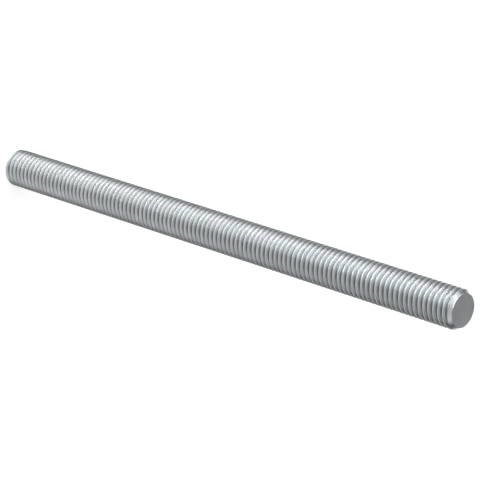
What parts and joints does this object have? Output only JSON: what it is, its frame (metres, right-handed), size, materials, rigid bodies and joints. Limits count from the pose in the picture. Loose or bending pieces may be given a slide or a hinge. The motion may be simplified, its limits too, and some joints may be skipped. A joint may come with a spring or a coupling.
{
  "type": "threaded rod",
  "caption": "Straight steel rod with one metric thread along its whole length and a bevel at each end, for joining, hanging or clamping parts between nuts.",
  "frame": {"origin": "centre of the lower end face, which the rod stands on", "axes": "+Z along the rod's axis, up towards the upper end; X and Y across it"},
  "size_m": [0.012, 0.0116, 0.184],
  "materials": {
    "zinc_plated_steel": "bright zinc plate over a rolled thread"
  },
  "bodies": {
    "root": {"threaded_rod": "zinc_plated_steel"}
  },
  "joints": []
}
